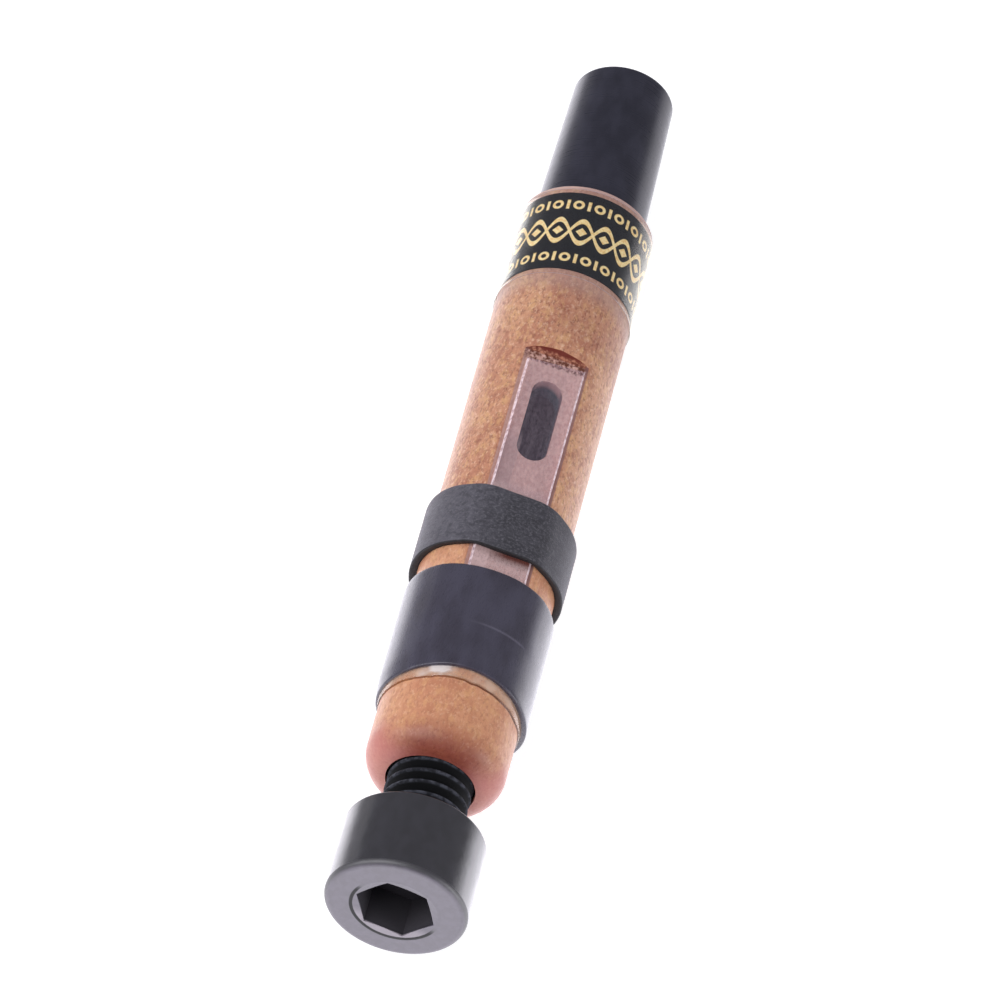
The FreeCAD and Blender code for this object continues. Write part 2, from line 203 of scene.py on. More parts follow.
# %% World and lamps
REED_MIDDLE = Vector((0, -0.03, 0))

world = bpy.data.worlds.new("studio")
bpy.context.scene.world = world
tree = fresh_tree(world)
room = wire("Background", {"Color": (0.88, 0.87, 0.95, 1), "Strength": 0.4})
backdrop = wire("Background", {"Color": (1, 1, 1, 1), "Strength": 1.0})
camera_ray = add_node("LightPath").outputs["Is Camera Ray"]
add_node("OutputWorld", {0: mix(camera_ray, room, backdrop)})


def soft_box(name, place, width, height, power):
    """A rectangular area lamp at a place, turned towards the reed. Lengths in metres."""
    lamp = bpy.data.lights.new(name, "AREA")
    lamp.shape = "RECTANGLE"
    lamp.size = width
    lamp.size_y = height
    lamp.energy = power
    lamp.color = (0.96, 0.95, 1)
    holder = bpy.data.objects.new(name, lamp)
    bpy.context.scene.collection.objects.link(holder)
    holder.location = place
    holder.rotation_mode = "QUATERNION"
    holder.rotation_quaternion = (REED_MIDDLE - Vector(place)).to_track_quat("-Z", "Y")


soft_box("key_box", (-0.40, -0.35, 0.50), 0.5, 0.5, 2.9)
soft_box("left_box", (-0.52, -0.20, 0.16), 0.3, 0.25, 0.85)
soft_box("right_box", (0.52, -0.22, 0.16), 0.3, 0.25, 1.32)
soft_box("low_box", (0.57, 0.24, 0.035), 0.5, 0.08, 0.085)
print("four soft boxes")

# %% [markdown]
# ## Hand tools
# Most pieces of a reed are turned, so most are made here the way a turner works. A ring is added
# with a circle primitive, then extruded and scaled from station to station round the section of
# the piece, until the section closes on itself. Spin could do the same from a drawn profile. The
# ring is easier to follow in code, because each station is only a radius and a place on the axis.

# %% Selecting a piece
def let_go():
    """Leave edit mode and deselect everything."""
    if bpy.context.mode != "OBJECT":
        bpy.ops.object.mode_set(mode="OBJECT")
    bpy.ops.object.select_all(action="DESELECT")


def take(piece):
    """Select one piece alone and make it the active one."""
    let_go()
    piece.select_set(True)
    bpy.context.view_layer.objects.active = piece


# %% Turning a ring
SIDES = 192
WELD = 0.001 * MM


def turn(name, stations):
    """Turn a closed ring about the Y axis. Its stations, (radius, y), go once round its section."""
    let_go()
    radius, place = stations[0]
    bpy.ops.mesh.primitive_circle_add(vertices=SIDES, radius=radius, location=(0, place, 0),
                                      rotation=(math.pi / 2, 0, 0))
    piece = bpy.context.object
    piece.name = name
    bpy.ops.object.transform_apply(location=True, rotation=True, scale=True)
    bpy.ops.object.mode_set(mode="EDIT")
    bpy.ops.mesh.select_all(action="SELECT")
    for next_radius, next_place in stations[1:] + stations[:1]:
        bpy.ops.mesh.extrude_region_move(
            TRANSFORM_OT_translate={"value": (0, next_place - place, 0)})
        ratio = next_radius / radius
        bpy.ops.transform.resize(value=(ratio, 1, ratio), center_override=(0, next_place, 0))
        radius, place = next_radius, next_place
    bpy.ops.mesh.select_all(action="SELECT")
    bpy.ops.mesh.remove_doubles(threshold=WELD)
    bpy.ops.mesh.normals_make_consistent(inside=False)
    bpy.ops.object.mode_set(mode="OBJECT")
    return piece


# %% Stations of a section
def arc(centre_radius, centre_place, size, start, end, steps):
    """Stations along an arc. Its angles are in degrees, 0 towards +Y and 90 away from the axis."""
    stations = []
    for step in range(steps + 1):
        angle = math.radians(start + (end - start) * step / steps)
        stations.append((centre_radius + size * math.sin(angle),
                         centre_place + size * math.cos(angle)))
    return stations


def run(radius, start, end, steps):
    """Stations along a straight run, with both its ends."""
    return [(radius, start + (end - start) * step / steps) for step in range(steps + 1)]


# %% Smoothing and measuring
def smooth(piece, degrees):
    """Shade a piece smooth, and keep the edges that are sharper than an angle."""
    take(piece)
    bpy.ops.object.shade_smooth_by_angle(angle=math.radians(degrees))


def report(piece):
    """Print the faces and the box of a finished piece, in millimetres."""
    corners = [vertex.co / MM for vertex in piece.data.vertices]
    low = [round(min(c[i] for c in corners), 2) for i in range(3)]
    high = [round(max(c[i] for c in corners), 2) for i in range(3)]
    print(piece.name, len(piece.data.polygons), "faces", low, high)


# %% [markdown]
# ## The turned body
# The body is one turned piece: a rounded near end with the hole for the screw, a bore through the
# middle, and a socket for the seat at the far end. Its section is closed through the bore, so it is
# a real tube with walls. The flat bed for the tongue and the slot are milled afterwards, as on the
# real reed, by cutting the tube with two cutters. A Boolean modifier does each cut.

# %% Body
MOUTH_RADIUS = 3.17 * MM
MOUTH_DEPTH = 1.0 * MM
GLAND_RADIUS = 3.85 * MM
GLAND_END = NEAR_END + 2 * MOUTH_DEPTH
HOLE_RADIUS = 3.05 * MM
SCREW_TRAVEL = 4.6 * MM
HOLE_END = screw_high.y + SCREW_TRAVEL + 0.6 * MM
BORE_RADIUS = 2.5 * MM
SOCKET_RADIUS = 3.33 * MM
SOCKET_END = seat_low.y - 0.03 * MM
NEAR_ROUND = 2.0 * MM
RIM_ROUND = 0.15 * MM

mouth_angle = 180 - math.degrees(math.asin((MOUTH_RADIUS - BODY_RADIUS + NEAR_ROUND) / NEAR_ROUND))
body = turn("turned_body", [
    *arc(BODY_RADIUS - NEAR_ROUND, NEAR_END + NEAR_ROUND, NEAR_ROUND, mouth_angle, 90, 14),
    *arc(BODY_RADIUS - RIM_ROUND, SHOULDER - RIM_ROUND, RIM_ROUND, 90, 0, 4),
    (SOCKET_RADIUS, SHOULDER),
    (SOCKET_RADIUS, SOCKET_END),
    (BORE_RADIUS, SOCKET_END),
    (BORE_RADIUS, HOLE_END),
    (HOLE_RADIUS, HOLE_END),
    (HOLE_RADIUS, GLAND_END),
    (GLAND_RADIUS, GLAND_END),
    (GLAND_RADIUS, NEAR_END + MOUTH_DEPTH),
    (MOUTH_RADIUS, NEAR_END + MOUTH_DEPTH),
])
report(body)

# %% [markdown]
# The bed's cutter is a cube scaled to the bed. Its far face is divided and its points are moved a
# little, so that the wall where the milling cutter stopped leans back and comes out slightly torn,
# as on the real reed. The slot's cutter is a cube whose upright edges are bevelled until its ends
# are round.

# %% Bed cutter
BED_START = -41.5 * MM
BED_END = -15.8 * MM
BED_END_LEAN = 0.35
TORN_DEPTH = 0.09 * MM
TORN_SPOT = 0.5 * MM
BEYOND_BODY = 6 * MM


def block(name, low, high):
    """A cube primitive with its corners at low and high."""
    let_go()
    middle = (Vector(low) + Vector(high)) / 2
    bpy.ops.mesh.primitive_cube_add(size=1, location=middle)
    piece = bpy.context.object
    piece.name = name
    piece.scale = Vector(high) - Vector(low)
    bpy.ops.object.transform_apply(location=True, rotation=True, scale=True)
    return piece


def pick(piece, kind, test):
    """Enter edit mode with only those faces or edges selected that pass a test."""
    take(piece)
    bpy.ops.object.mode_set(mode="EDIT")
    bpy.ops.mesh.select_mode(type=kind)
    bpy.ops.mesh.select_all(action="DESELECT")
    bpy.ops.object.mode_set(mode="OBJECT")
    for part in piece.data.polygons if kind == "FACE" else piece.data.edges:
        part.select = test(part)
    bpy.ops.object.mode_set(mode="EDIT")


bed_cutter = block("bed_cutter", (-BEYOND_BODY, BED_START, BED_HEIGHT),
                   (BEYOND_BODY, BED_END, BEYOND_BODY))
pick(bed_cutter, "FACE", lambda face: face.normal.y > 0.9)
bpy.ops.mesh.subdivide(number_cuts=30)
let_go()
for point in bed_cutter.data.vertices:
    if point.co.y > BED_END - 0.01 * MM:
        torn_by = TORN_DEPTH * noise.noise(point.co / TORN_SPOT)
        point.co.y += torn_by + BED_END_LEAN * (point.co.z - BED_HEIGHT)
report(bed_cutter)

# %% Slot cutter
SLOT_START = -25.53 * MM
SLOT_END = -18.17 * MM
SLOT_WIDTH = 2.25 * MM
SLOT_FLOOR = 1.2 * MM
SLOT_TOP = 5 * MM


def pick_edges(piece, test):
    """Enter edit mode with only the edges selected whose two ends pass a test."""
    pick(piece, "EDGE", lambda edge: test(*(piece.data.vertices[i].co for i in edge.vertices)))


slot_cutter = block("slot_cutter", (-SLOT_WIDTH / 2, SLOT_START, SLOT_FLOOR),
                    (SLOT_WIDTH / 2, SLOT_END, SLOT_TOP))
pick_edges(slot_cutter, lambda a, b: abs(a.z - b.z) > 1 * MM)
bpy.ops.mesh.bevel(offset=SLOT_WIDTH / 2 - 0.002 * MM, segments=12, affect="EDGES")
let_go()
report(slot_cutter)


# %% Milling
def cut_away(piece, cutter):
    """Cut one solid out of a piece, and delete the cutter."""
    take(piece)
    cut = piece.modifiers.new("cut", "BOOLEAN")
    cut.operation = "DIFFERENCE"
    cut.solver = "EXACT"
    cut.object = cutter
    bpy.ops.object.modifier_apply(modifier=cut.name)
    bpy.data.objects.remove(cutter, do_unlink=True)


cut_away(body, bed_cutter)
cut_away(body, slot_cutter)
smooth(body, 20)
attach(body, "root")
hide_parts("reed_body")
report(body)

# %% [markdown]
# ## The clear tongue
# The tongue is one strip of clear plastic. Its heel lies flat on the bed under the sleeve, and past
# the bridle it bends up by a few degrees, so that it can beat against the slot. The strip starts as
# a cube at its size. It is bisected along its length, and everything past each cut near the bend is
# turned a little about that cut, which gives a smooth bend instead of a fold. The upper edges get
# a chamfer, because a cut edge of clear plastic catches light all along it.

# %% Tongue
HALF_TONGUE = heel_high.x
TONGUE_LIFT = math.radians(2.4)
TONGUE_REST = 0.006 * MM
TONGUE_CHAMFER = 0.14 * MM
TIP_BACK = 0.24 * MM
TIP_SKEW = 0.22 * MM
BEND_PLACE = (heel_high.y + blade_low.y) / 2
BEND_HALF = 0.6 * MM
BEND_CUTS = 6
HEEL_CUTS = (-38 * MM, -35 * MM, -32 * MM, -30 * MM)
BLADE_CUTS = (-24 * MM, -21 * MM, -19 * MM)

tongue = block("tongue", (heel_low.x, heel_low.y, BED_HEIGHT + TONGUE_REST),
               (heel_high.x, blade_high.y, heel_high.z + TONGUE_REST))
take(tongue)
bpy.ops.object.mode_set(mode="EDIT")
bend_places = [BEND_PLACE + BEND_HALF * (2 * cut / BEND_CUTS - 1) for cut in range(BEND_CUTS + 1)]
for place in (*HEEL_CUTS, *bend_places, *BLADE_CUTS):
    bpy.ops.mesh.select_all(action="SELECT")
    bpy.ops.mesh.bisect(plane_co=(0, place, 0), plane_no=(0, 1, 0))
pick_edges(tongue, lambda a, b: min(a.z, b.z) > heel_high.z - 0.1 * MM
           and (abs(a.x + b.x) > HALF_TONGUE or min(a.y, b.y) > blade_high.y - 0.01 * MM))
bpy.ops.mesh.bevel(offset=TONGUE_CHAMFER, segments=1, affect="EDGES")
let_go()
for point in tongue.data.vertices:
    if point.co.y > blade_high.y - 2 * TONGUE_CHAMFER:
        point.co.y += TIP_SKEW * point.co.x / HALF_TONGUE - TIP_BACK
report(tongue)

# %% Bending the tongue up
for place in bend_places:
    pick_edges(tongue, lambda a, b: min(a.y, b.y) > place - WELD)
    bpy.ops.transform.rotate(value=-TONGUE_LIFT / len(bend_places), orient_axis="X",
                             center_override=(0, place, BED_HEIGHT))
    let_go()
smooth(tongue, 20)
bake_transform(tongue)
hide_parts("tongue_heel", "tongue_blade")
report(tongue)

# %% [markdown]
# ## A skin pulled over the tongue
# The sleeve is heat-shrink tube and the bridle is a rubber band, so both follow the shape under
# them: round where there is only the body, and flat across the tongue with a soft corner on each
# side. Each is turned as a plain ring first. Then its points are moved in or out by the distance
# between the round body and a skin stretched over body and tongue, which is what the real ones did
# when they shrank on.

# %% The stretched skin
TONGUE_TOP = heel_high.z
CORNER_ANGLE = math.atan2(HALF_TONGUE, TONGUE_TOP)
TOUCH_ANGLE = CORNER_ANGLE + math.acos(BODY_RADIUS / math.hypot(HALF_TONGUE, TONGUE_TOP))
SKIN_STEPS = 6


def stretched(angle):
    """Radius of a tight skin over body and tongue, at an angle from +Z."""
    angle = abs(angle)
    if angle < CORNER_ANGLE:
        return TONGUE_TOP / math.cos(angle)
    if angle < TOUCH_ANGLE:
        return BODY_RADIUS / math.cos(TOUCH_ANGLE - angle)
    return BODY_RADIUS


def skin_rise(angle, softness):
    """How far a skin of some softness, in degrees, stands off the round body at an angle."""
    near = [angle + math.radians(softness) * (step / SKIN_STEPS)
            for step in range(-SKIN_STEPS, SKIN_STEPS + 1)]
    return sum(stretched(a) for a in near) / len(near) - BODY_RADIUS


def pull_over(piece, moves):
    """Move a ring's points. moves(angle, y, radius) tells how far outwards and how far along."""
    for point in piece.data.vertices:
        radius = math.hypot(point.co.x, point.co.z)
        angle = math.atan2(point.co.x, point.co.z)
        outward, along = moves(angle, point.co.y, radius)
        grow = (radius + outward) / radius
        point.co = (point.co.x * grow, point.co.y + along, point.co.z * grow)


print("corner at %.1f degrees, skin touches the body at %.1f degrees"
      % (math.degrees(CORNER_ANGLE), math.degrees(TOUCH_ANGLE)))

# %% The sleeve's ring
SLEEVE_OUTER = BODY_RADIUS + 0.452 * MM
SLEEVE_INNER = BODY_RADIUS + 0.1 * MM
SLEEVE_ROUND = 0.12 * MM

sleeve = turn("holding_sleeve_skin", [
    *arc(SLEEVE_OUTER - SLEEVE_ROUND, sleeve_low.y + SLEEVE_ROUND, SLEEVE_ROUND, 180, 90, 4),
    *run(SLEEVE_OUTER, sleeve_low.y + 0.4 * MM, heel_low.y - 1.1 * MM, 9),
    *run(SLEEVE_OUTER, heel_low.y - 1.0 * MM, heel_low.y + 0.7 * MM, 18),
    *run(SLEEVE_OUTER, heel_low.y + 0.9 * MM, sleeve_high.y - 0.4 * MM, 9),
    *arc(SLEEVE_OUTER - SLEEVE_ROUND, sleeve_high.y - SLEEVE_ROUND, SLEEVE_ROUND, 90, 0, 4),
    *run(SLEEVE_INNER, sleeve_high.y, sleeve_low.y, 20),
])
report(sleeve)

# %% Shrinking the sleeve on
OUTSIDE = BODY_RADIUS + 0.2 * MM
FLARE_RIGHT = 0.06 * MM
FLARE_LEFT = -0.13 * MM
FAR_LEFT_PULL = 0.25 * MM
RIPPLE = 0.006 * MM
# The near edge's waves: how far along in mm, at which angle, and how wide, both in degrees.
EDGE_WAVES = ((0.32, 0, 45), (-0.28, -75, 45), (-0.25, 75, 30))


def ease(start, end, value):
    """0 before start, 1 after end, and a smooth step between them."""
    t = min(max((value - start) / (end - start), 0), 1)
    return t * t * (3 - 2 * t)


def sleeve_shape(angle, place, radius):
    """The sleeve's pull, its flared and wavy near edge, and the ripples of the shrunk plastic."""
    tongue_here = ease(heel_low.y - 0.9 * MM, heel_low.y + 0.5 * MM, place)
    outside = radius > OUTSIDE
    outward = skin_rise(angle, 22 if outside else 6) * tongue_here
    if outside:
        near_edge = 1 - ease(sleeve_low.y, sleeve_low.y + 1.8 * MM, place)
        flare = FLARE_RIGHT if angle > 0 else FLARE_LEFT
        outward += flare * math.sin(angle) ** 2 * near_edge ** 2
        spot = Vector((radius * math.sin(angle), place * 0.35, radius * math.cos(angle)))
        outward += RIPPLE * noise.noise(spot / (1.8 * MM))
    wave = sum(length * math.exp(-((math.degrees(angle) - middle) / width) ** 2)
               for length, middle, width in EDGE_WAVES)
    along = wave * MM * (1 - ease(sleeve_low.y, sleeve_low.y + 4 * MM, place))
    far_edge = ease(sleeve_high.y - 3 * MM, sleeve_high.y, place)
    along += FAR_LEFT_PULL * max(-math.sin(angle), 0) ** 2 * far_edge
    return outward, along


pull_over(sleeve, sleeve_shape)
smooth(sleeve, 40)
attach(sleeve, "root")
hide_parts("holding_sleeve")
report(sleeve)

# %% [markdown]
# ## Adhesive ring
# Clear adhesive was pressed out of the sleeve's near edge. It is a glossy bead that is high beside
# the sleeve and runs thin towards its own irregular edge. It is turned like the sleeve, and its
# thin edge is moved along by slow noise.

# %% Adhesive
BEAD_HEIGHT = 0.17 * MM
BEAD_LENGTH = 1.15 * MM
BEAD_STEPS = 10
LINING_INNER = BODY_RADIUS + 0.003 * MM
LINING_OUTER = BODY_RADIUS + 0.09 * MM
bead_start = adhesive_low.y
bead_stations = []
for step in range(BEAD_STEPS + 1):
    share = step / BEAD_STEPS
    bead_stations.append((BODY_RADIUS + 0.004 * MM + BEAD_HEIGHT * math.sqrt(1 - (1 - share) ** 2),
                          bead_start + BEAD_LENGTH * share))
adhesive = turn("adhesive_bead", [
    (LINING_INNER, adhesive_high.y),
    (LINING_INNER, bead_start + 0.3 * MM),
    *bead_stations,
    (LINING_OUTER, bead_start + 1.9 * MM),
    (LINING_OUTER, adhesive_high.y),
])


def bead_shape(angle, place, radius):
    """Lift over the tongue under the sleeve, and an irregular edge outside it."""
    tongue_here = ease(heel_low.y - 0.3 * MM, heel_low.y + 0.1 * MM, place)
    edge = 1 - ease(bead_start, bead_start + 1.6 * MM, place)
    spot = Vector((math.sin(angle), 0, math.cos(angle)))
    wander = 0.16 * noise.noise(spot * 2.2) + 0.06 * noise.noise(spot * 9)
    along = edge * (wander + 0.2 * max(math.cos(angle), 0) ** 3) * MM
    return skin_rise(angle, 4) * tongue_here, along


pull_over(adhesive, bead_shape)
smooth(adhesive, 60)
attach(adhesive, "root")
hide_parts("sleeve_adhesive")
report(adhesive)

# %% [markdown]
# ## Rubber bridle
# The bridle is a short length of rubber tube that slides along the tongue to set its pitch. It was
# cut off by hand, so its edges are a little crooked and the near end slants inwards. It has the
# same flat over the tongue as the sleeve. It rides on its own body, so that it can slide.

# %% Bridle
BRIDLE_OUTER = BODY_RADIUS + 0.586 * MM
BRIDLE_INNER = BODY_RADIUS + 0.03 * MM
BRIDLE_ROUND = 0.13 * MM
BRIDLE_SLANT = 0.18 * MM
BRIDLE_MIDDLE = (bridle_low.y + bridle_high.y) / 2
bridle = turn("bridle_band", [
    *arc(BRIDLE_OUTER - BRIDLE_ROUND, bridle_low.y + BRIDLE_ROUND, BRIDLE_ROUND, 180, 90, 4),
    *run(BRIDLE_OUTER, bridle_low.y + 0.3 * MM, bridle_high.y - 0.3 * MM, 14),
    *arc(BRIDLE_OUTER - BRIDLE_ROUND, bridle_high.y - BRIDLE_ROUND, BRIDLE_ROUND, 90, 0, 4),
    *run(BRIDLE_INNER, bridle_high.y, bridle_low.y + BRIDLE_SLANT, 8),
])


def bridle_shape(angle, place, radius):
    """The bridle's pull, its crooked cut edges and its slightly uneven thickness."""
    outside = radius > OUTSIDE
    outward = skin_rise(angle, 9 if outside else 4)
    spot = Vector((5 * math.sin(angle), place / (2 * MM), 5 * math.cos(angle)))
    if outside:
        outward += 0.012 * MM * noise.noise(spot / 1.5)
    top, left, right = (max(side, 0) ** 2 for side in (
        math.cos(angle), -math.sin(angle), math.sin(angle)))
    near = (bridle_high.y - place) / (bridle_high.y - bridle_low.y)
    crooked = 0.05 * noise.noise(spot / 3)
    along = crooked * abs(place - BRIDLE_MIDDLE) / (bridle_high.y - BRIDLE_MIDDLE)
    along += 0.55 * left + near * (0.15 * top + 0.42 * right)
    return outward, along * MM


pull_over(bridle, bridle_shape)
smooth(bridle, 40)
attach(bridle, "bridle")
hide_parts("bridle")
report(bridle)

# %% [markdown]
# ## Label band and its film
# A dark printed band goes round the body beside the seat, under a clear film that is a little wider
# than the band. Both are thin turned rings. The film's edges lift slightly, unevenly round the
# body, which is why they catch light as thin pale lines.

# %% Label and film
LABEL_INNER = BODY_RADIUS + 0.004 * MM
LABEL_OUTER = BODY_RADIUS + 0.05 * MM
FILM_INNER = BODY_RADIUS + 0.062 * MM
FILM_OUTER = BODY_RADIUS + 0.112 * MM
EDGE_STRIP = 0.8 * MM
label = turn("label_ring", [
    (LABEL_INNER, label_low.y),
    *run(LABEL_OUTER, label_low.y, label_high.y, 12),
    (LABEL_INNER, label_high.y),
])
smooth(label, 40)
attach(label, "root")
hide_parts("label_band")
report(label)

film = turn("label_film_ring", [
    *run(FILM_OUTER, film_low.y, film_low.y + EDGE_STRIP, 5),
    *run(FILM_OUTER, film_low.y + 1.2 * MM, film_high.y - 1.2 * MM, 12),
    *run(FILM_OUTER, film_high.y - EDGE_STRIP, film_high.y, 5),
    *run(FILM_INNER, film_high.y, film_high.y - EDGE_STRIP, 5),
    *run(FILM_INNER, film_low.y + EDGE_STRIP, film_low.y, 5),
])


def film_shape(angle, place, radius):
    """Press the film onto the body beside the band, and lift its edges unevenly."""
    spot = Vector((math.sin(angle), place / (9 * MM), math.cos(angle)))
    beyond = max(label_low.y - place, place - label_high.y)
    outward = -0.05 * MM * ease(0, 0.25 * MM, beyond)
    outward += 0.03 * MM * ease(0.3 * MM, 0.5 * MM, beyond) * (1 + noise.noise(spot * 3))
    along = 0.05 * MM * noise.noise(spot * 4) * ease(0, 0.4 * MM, beyond)
    return outward, along


pull_over(film, film_shape)
smooth(film, 40)
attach(film, "root")
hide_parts("label_film")
report(film)

# %% [markdown]
# ## Finishes
# Every finish is a node tree on Object coordinates, scaled to millimetres, so that a size in a
# material is the size on the reed. The helpers keep each tree short enough to read. Colours are
# written as the 0 to 255 numbers that a paint program shows, and turned into Blender's linear ones.

# %% Colours and coordinates
def colour(red, green, blue):
    """A display colour from 0 to 255 as a linear shader colour."""
    linear = [c / 12.92 if c <= 0.04045 else ((c + 0.055) / 1.055) ** 2.4
              for c in (red / 255, green / 255, blue / 255)]
    return (*linear, 1)


def start_finish(name):
    """Start a material and its tree. Returns it and its Object coordinates in millimetres."""
    global tree
    finish = bpy.data.materials.new(name)
    tree = fresh_tree(finish)
    where = add_node("TexCoord").outputs["Object"]
    return finish, wire("Mapping", {"Vector": where, "Scale": (1000, 1000, 1000)})


def split(where):
    """The x, y and z of the coordinates."""
    return add_node("SeparateXYZ", {0: where}).outputs


print("display grey 128 is %.3f in linear light" % colour(128, 128, 128)[0])


# %% Noise and values
def grain(where, size, detail=2, roughness=0.5):
    """Noise from 0 to 1 whose spots have about the given size (x, y, z) in millimetres."""
    spread = wire("Mapping", {"Vector": where, "Scale": [1 / s for s in size]})
    return add_node("TexNoise", {"Vector": spread, "Scale": 1, "Detail": detail,
                                 "Roughness": roughness}).outputs["Fac"]


def product(*values):
    """Several values multiplied."""
    result = values[0]
    for value in values[1:]:
        result = calc("MULTIPLY", result, value)
    return result


def highest(first, second):
    """The higher one of two values."""
    return calc("MAXIMUM", first, second)


def between(value, low, high, start=0, end=1):
    """Map a value smoothly from low..high to start..end."""
    return ramp(value, low, high, start, end, "SMOOTHSTEP")


def far(first, second):
    """Distance from an axis or a middle, from the distances along two sides."""
    return calc("SQRT", calc("ADD", calc("POWER", first, 2), calc("POWER", second, 2)))


# %% Layers and surfaces
def blend_colours(share, first, second, blend="MIX"):
    """One colour over another, by a share from 0 to 1."""
    return wire("MixRGB", {"Fac": share, "Color1": first, "Color2": second}, blend_type=blend)


def layer(under, over, value, low, high, start=0, end=1):
    """One colour over another where a value passes from low to high."""
    return blend_colours(between(value, low, high, start, end), under, over)


def bump(height, depth):
    """A bump from a height of 0 to 1 that stands for a depth in millimetres."""
    return wire("Bump", {"Height": height, "Distance": depth * MM, "Strength": 1})


def plastic(shade, roughness, **others):
    """The main shader. Its other inputs are given by name, with _ for a space."""
    inputs = {name.replace("_", " "): value for name, value in others.items()}
    return wire("BsdfPrincipled", {"Base Color": shade, "Roughness": roughness, **inputs})


def finish_with(surface):
    """Link the last shader to the output."""
    add_node("OutputMaterial", {"Surface": surface})


def dress(piece, *finishes):
    """Give a piece its materials, in the order of its slots."""
    piece.data.materials.clear()
    for finish in finishes:
        piece.data.materials.append(finish)
    print(piece.name, "wears", ", ".join(finish.name for finish in finishes))


# %% [markdown]
# ## Body finish
# The body is a tan resin composite with short fibres along the turning axis. Its colour is built up
# as a painter would: slow clouds first, then reddish and golden mottling, then small dark and pale
# flecks that are a little longer along Y. Each layer is one noise that mixes in one colour. An
# image could not do this without a seam, and a noise has the same scale on every side.

# %% Body composite
body_finish, mm = start_finish("tan_composite")
side_x, along_y, up_z = split(mm)
radius = far(side_x, up_z)
clouds = grain(mm, (4, 8, 4), 3)
red_mottle = grain(mm, (0.8, 1.5, 0.8), 4, 0.6)
gold_mottle = grain(mm, (0.5, 1.0, 0.5), 4, 0.65)
dark_flecks = grain(mm, (0.24, 0.42, 0.24), 4, 0.7)
pale_flecks = grain(mm, (0.2, 0.32, 0.2), 3, 0.7)
tan = layer(colour(200, 140, 110), colour(212, 158, 122), clouds, 0.35, 0.65)
tan = layer(tan, colour(172, 108, 84), red_mottle, 0.45, 0.62, 0, 0.55)
tan = layer(tan, colour(226, 180, 124), gold_mottle, 0.48, 0.62, 0, 0.5)
tan = layer(tan, colour(146, 92, 72), dark_flecks, 0.48, 0.68, 0, 0.75)
tan = layer(tan, colour(244, 208, 176), pale_flecks, 0.5, 0.7, 0, 0.55)
print(len(tree.nodes), "nodes in this tree so far")

# %% [markdown]
# The two ends differ. The near end is more even in colour. Round the hole it gets a red-brown
# painted shade, deepest above the screw where the head shades it, and it is pinker on its lower
# sides. The far end face was cut and not polished, so it is paler, and the skin beside the label is
# darker on its right side. Between sleeve and bridle the skin stayed clean. The painted shade and
# the darker right side multiply the colour under them, so the flecks stay visible. All places are
# in millimetres along Y.

# %% Painted shade and tints at the ends
NEAR_ZONE_START = -49.2
CLEAN_END = -34
DARKER_RIGHT_START = -15.5
GREY_START = -10.8

tan = layer(tan, colour(214, 148, 106), along_y, -46.2, -47, 0, 0.42)
middle_share = between(calc("ABSOLUTE", side_x), 4.8, 1.5, 0.4, 1)
uneven_y = calc("ADD", along_y, product(red_mottle, 1.2))
# Painted shade round the hole, deepest above the screw, where its head shades the body.
head_shade = product(between(uneven_y, NEAR_ZONE_START, -51.5), middle_share, between(up_z, 0, 2.6))
tan = blend_colours(head_shade, tan, (0.37, 0.19, 0.21, 1), "MULTIPLY")
pink = product(between(along_y, NEAR_ZONE_START, -51), between(up_z, 3.6, 1.4), 0.68)
tan = blend_colours(pink, tan, colour(188, 113, 110))
tan = layer(tan, colour(234, 198, 184), along_y, -0.42, -0.3, 0, 0.75)
# The skin beside the label is darker on its right side.
darker_right = product(between(along_y, DARKER_RIGHT_START, -13), between(side_x, -3, 0))
tan = blend_colours(darker_right, tan, (0.84, 0.79, 0.82, 1), "MULTIPLY")
tan = layer(tan, colour(180, 158, 150), along_y, GREY_START, -9, 0, 0.4)
clean = product(between(along_y, -36.9, -36.7), between(along_y, CLEAN_END, -34.6), 0.3)
tan = blend_colours(clean, tan, colour(236, 172, 130))
# The range printed is where the painted shade and the pink tint begin.
print("stained from y = %.1f mm to %.1f mm" % (NEAR_ZONE_START, NEAR_END / MM))

# %% [markdown]
# The milled bed is smoother and more even than the turned skin, and at its far wall the cutter
# tore the fibres out, so that wall is spotted, with a dark red painted shade on its upper part. The
# strips beside the tongue get a painted shadow, deeper on the right. The bore and the walls of the
# slot are darkened too, as painted shade. All these places are found from the height above the
# axis and the distance from it, because that is how they were machined.

# %% Milled surfaces
SKIN = BODY_RADIUS / MM
BED = BED_HEIGHT / MM
TONGUE_SIDE = HALF_TONGUE / MM
BED_WALL = BED_END / MM

milled = product(between(radius, SKIN - 0.015, SKIN - 0.055),
                 between(up_z, BED - 0.125, BED - 0.075), between(along_y, -42, -41.8))
smooth_bed = layer(colour(232, 190, 174), colour(208, 162, 148), dark_flecks, 0.35, 0.65)
torn = grain(mm, (0.3, 0.3, 0.3), 4, 0.7)
rough_end = product(between(along_y, -17.5, -16.5), torn)
bed_tan = layer(smooth_bed, colour(104, 58, 42), rough_end, 0.36, 0.58)
wall_height = calc("ADD", up_z, product(torn, 0.5))
shaded_wall_tan = layer(colour(186, 128, 102), colour(118, 66, 52), torn, 0.38, 0.58)
# Painted shade on the upper part of the far wall; its spots are torn fibres.
shaded_wall_tan = layer(shaded_wall_tan, colour(112, 50, 40), wall_height, 4.6, 4.85)
bed_tan = layer(bed_tan, shaded_wall_tan, along_y, BED_WALL - 0.16, BED_WALL - 0.08)
# Painted shadow on the bed beside the tongue, deeper on the right.
shadow_beside_tongue = product(
    between(calc("ABSOLUTE", side_x), TONGUE_SIDE - 0.05, TONGUE_SIDE + 0.04, 0, 0.75),
    between(side_x, -1, 1, 0.6, 1))
bed_tan = blend_colours(shadow_beside_tongue, bed_tan, colour(132, 92, 88))
tan = blend_colours(milled, tan, bed_tan)
print(len(tree.nodes), "nodes in this tree so far")
